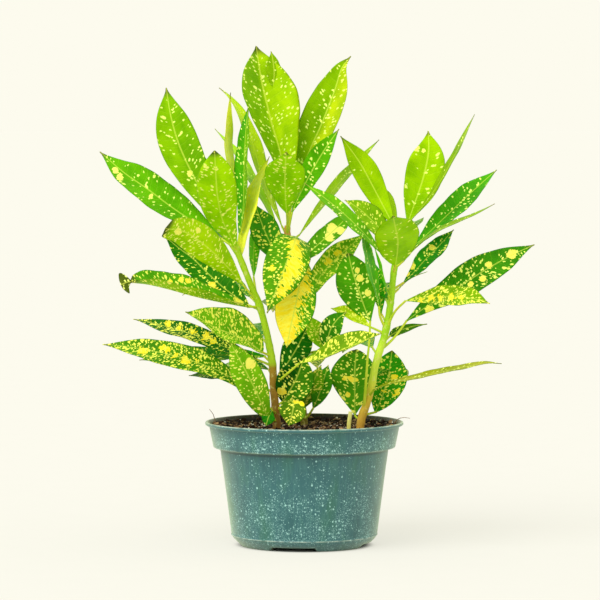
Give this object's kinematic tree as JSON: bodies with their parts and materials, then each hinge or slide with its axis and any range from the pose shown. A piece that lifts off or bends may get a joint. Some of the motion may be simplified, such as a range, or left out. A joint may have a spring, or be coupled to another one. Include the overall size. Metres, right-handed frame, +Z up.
{
  "type": "potted croton plant",
  "caption": "Potted croton with spotted gold-dust leaves on upright stems, standing in soil in a tapered round nursery pot with a banded rim.",
  "frame": {"origin": "on the ground under the middle of the plant's spread; the pot's axis is 10.9 mm to its left and 13.4 mm in front of it", "axes": "+Z up along the pot's axis, the front of the plant looks along -Y, +X to the viewer's right"},
  "size_m": [0.3644, 0.2376, 0.415],
  "materials": {
    "pot_plastic": "satin teal green with fine pale speckles",
    "potting_soil": "moist peat and bark potting mix",
    "foliage": "waxy green leaf with yellow spots",
    "cut_stem": "pale yellow green bark"
  },
  "bodies": {
    "root": {"pot": "pot_plastic", "soil": "potting_soil", "stem_left": "foliage", "stem_middle": "foliage", "stem_right": "foliage", "cut_stub": "cut_stem"}
  },
  "joints": []
}
